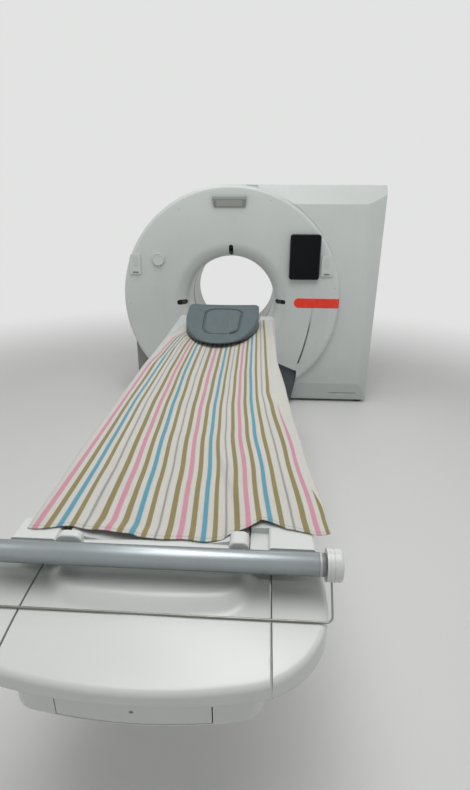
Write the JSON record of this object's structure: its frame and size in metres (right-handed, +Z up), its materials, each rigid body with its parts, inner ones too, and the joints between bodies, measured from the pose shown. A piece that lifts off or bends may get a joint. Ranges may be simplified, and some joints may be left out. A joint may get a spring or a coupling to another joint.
{
  "type": "ct scanner",
  "caption": "CT scanner: round-fronted gantry with an open bore and a patient table on a telescoping lift, with cloth sheet, head-arm support and roll holder.",
  "frame": {"origin": "on the floor under the bore's axis, in the plane of the gantry's round front", "axes": "+X to the right seen from the table's foot end, +Y from the table's foot into the gantry, +Z up"},
  "size_m": [2.0549, 4.089, 1.775],
  "materials": {
    "cover_white": "satin moulded cover",
    "cover_grey": "satin grey paint",
    "frame_paint": "primer paint",
    "dark_cover": "matt",
    "window_film": "thin film",
    "laser_glass": "dark tinted lens",
    "steel": "machined",
    "wire": "bright wire",
    "aluminium": "satin anodised",
    "rubber": "matt",
    "cradle": "satin laminate",
    "cloth": "woven stripes",
    "foam": "skinned foam",
    "pad": "soft pad",
    "key": "matt",
    "tablet": "glossy front",
    "unit_paint": "powder coat"
  },
  "bodies": {
    "gantry": {"base_frame": "frame_paint", "base_plate": "frame_paint", "bearing_outer_ring": "steel", "bore_liner": "cover_white", "brush_block": "unit_paint", "cable_inlet_plate": "dark_cover", "control_boxes": "cover_white", "drive_belt": "rubber", "drive_motor": "unit_paint", "electronics_cabinet": "unit_paint", "front_cover": "cover_white", "hood": "cover_white", "laser_windows": "laser_glass", "left_shroud": "cover_white", "left_stand_cover": "cover_grey", "levelling_feet": "rubber", "lift_base": "cover_grey", "lift_drive": "unit_paint", "link_cover": "dark_cover", "main_frame": "frame_paint", "rear_cover": "cover_white", "rear_grille": "dark_cover", "right_front_cover": "cover_white", "right_side_cover": "cover_white", "round_docks": "cover_white", "scan_window": "window_film", "tablet": "tablet", "top_cover": "cover_white"},
    "rotor": {"rotor_drum": "aluminium", "bearing_inner_ring": "steel", "xray_tube": "unit_paint", "collimator": "unit_paint", "detector_arc": "unit_paint", "hv_generator": "unit_paint", "tube_cooler": "unit_paint", "data_unit": "unit_paint", "slip_ring": "steel"},
    "roller_cage": {"bearing_rollers": "steel"},
    "pulley": {"motor_pulley": "steel"},
    "key_left": {"control_key_left": "key"},
    "key_right": {"control_key_right": "key"},
    "lift_stage": {"lift_mid": "cover_grey"},
    "table_frame": {"lift_top": "cover_grey", "support_beam": "frame_paint", "guide_rails": "steel", "side_covers": "cover_white", "lower_cover": "cover_white", "access_panel": "cover_white", "foot_cover_centre": "cover_white", "foot_cover_sides": "cover_white", "roll_brackets": "cover_white", "tabletop_drive": "unit_paint"},
    "table_top": {"tabletop": "cradle", "end_cap": "cover_white", "carriages": "steel", "sheet": "cloth", "head_support": "foam", "head_pad": "pad"},
    "roll": {"roll_tube": "aluminium"},
    "bail": {"wire_bail": "wire"}
  },
  "joints": [
    {"name": "rotor_spin", "type": "hinge", "parent": "gantry", "child": "rotor", "pos_m": [0, 0.53, 0.9], "axis": [0, 1, 0], "continuous": true},
    {"name": "roller_cage_spin", "type": "hinge", "parent": "gantry", "child": "roller_cage", "pos_m": [0, 0.53, 0.9], "axis": [0, 1, 0], "continuous": true},
    {"name": "pulley_spin", "type": "hinge", "parent": "gantry", "child": "pulley", "pos_m": [0.9, 0.45, 0.32], "axis": [0, 1, 0], "continuous": true},
    {"name": "table_lift", "type": "slide", "parent": "gantry", "child": "table_frame", "axis": [0, 0, 1], "range_m": [-0.345, 0]},
    {"name": "stage_lift", "type": "slide", "parent": "gantry", "child": "lift_stage", "axis": [0, 0, 1], "range_m": [-0.1725, 0]},
    {"name": "tabletop_slide", "type": "slide", "parent": "table_frame", "child": "table_top", "axis": [0, 1, 0], "range_m": [0, 1.5]},
    {"name": "roll_spin", "type": "hinge", "parent": "table_frame", "child": "roll", "pos_m": [0, -2.964, 0.868], "axis": [1, 0, 0], "continuous": true},
    {"name": "bail_swing", "type": "hinge", "parent": "table_frame", "child": "bail", "pos_m": [0, -2.964, 0.868], "axis": [-1, 0, 0], "range_deg": [0, 100]},
    {"name": "key_left_press", "type": "slide", "parent": "gantry", "child": "key_left", "axis": [0, 1, 0], "range_m": [0, 0.002], "stiffness_N_per_m": 600, "springref_m": -0.001},
    {"name": "key_right_press", "type": "slide", "parent": "gantry", "child": "key_right", "axis": [0, 1, 0], "range_m": [0, 0.002], "stiffness_N_per_m": 600, "springref_m": -0.001}
  ],
  "couplings": [
    {"joint": "pulley_spin", "follows": "rotor_spin", "ratio": 13.749},
    {"joint": "roller_cage_spin", "follows": "rotor_spin", "ratio": 0.4913},
    {"joint": "stage_lift", "follows": "table_lift", "ratio": 0.5}
  ]
}
